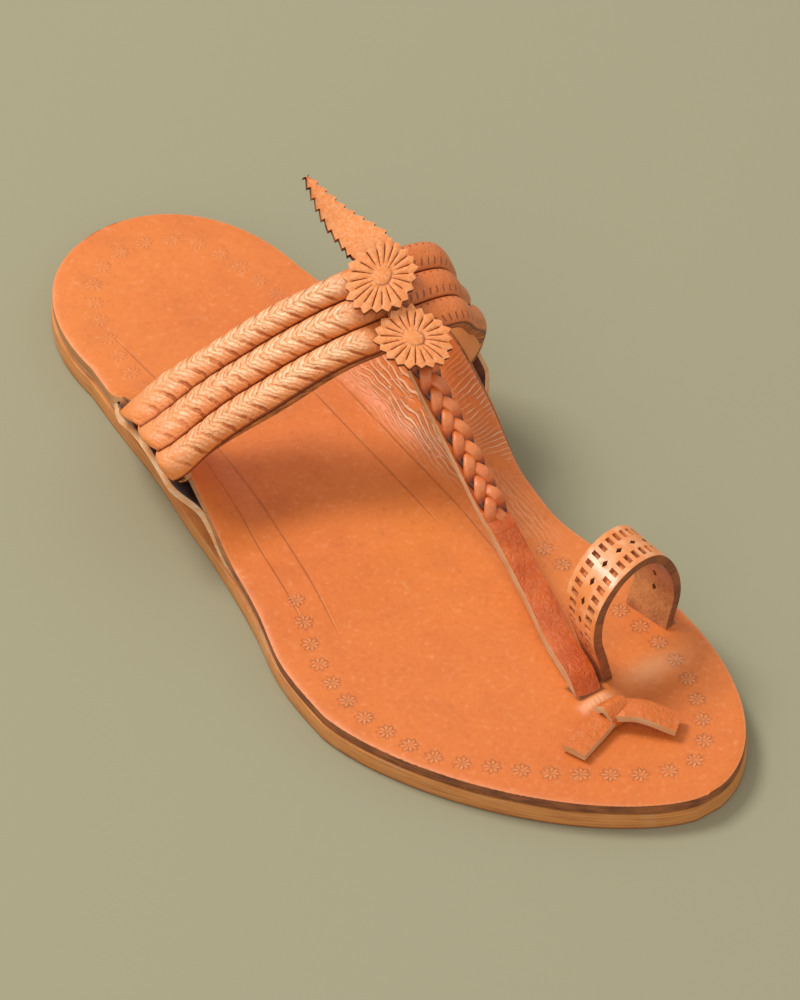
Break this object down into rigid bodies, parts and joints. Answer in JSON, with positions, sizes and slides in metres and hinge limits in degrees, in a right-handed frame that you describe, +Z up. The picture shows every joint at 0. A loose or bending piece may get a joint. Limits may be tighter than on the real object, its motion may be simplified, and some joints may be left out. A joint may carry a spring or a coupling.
{
  "type": "sandal",
  "caption": "Flat tan leather Kolhapuri sandal for the right foot, with a plaited instep band, braided centre strap, pierced toe ring and pinked leather flowers.",
  "frame": {"origin": "on the floor, under the middle of the sandal's bounding box", "axes": "+X towards the toe, +Y towards the big-toe side, +Z up"},
  "size_m": [0.254, 0.1038, 0.073],
  "materials": {
    "sole_leather": "matte, fibrous cut edge",
    "raw_leather": "matte",
    "insole_leather": "smooth satin",
    "plait_leather": "smooth satin",
    "pierced_leather": "smooth satin",
    "matte_leather": "matte suede",
    "thong_leather": "satin"
  },
  "bodies": {
    "root": {"outsole": "sole_leather", "ear_layer": "raw_leather", "insole": "insole_leather", "upper": "plait_leather", "toe_ring": "pierced_leather", "rosette_front": "matte_leather", "rosette_back": "matte_leather", "leaf_spike": "matte_leather", "toe_knot": "thong_leather"}
  },
  "joints": []
}
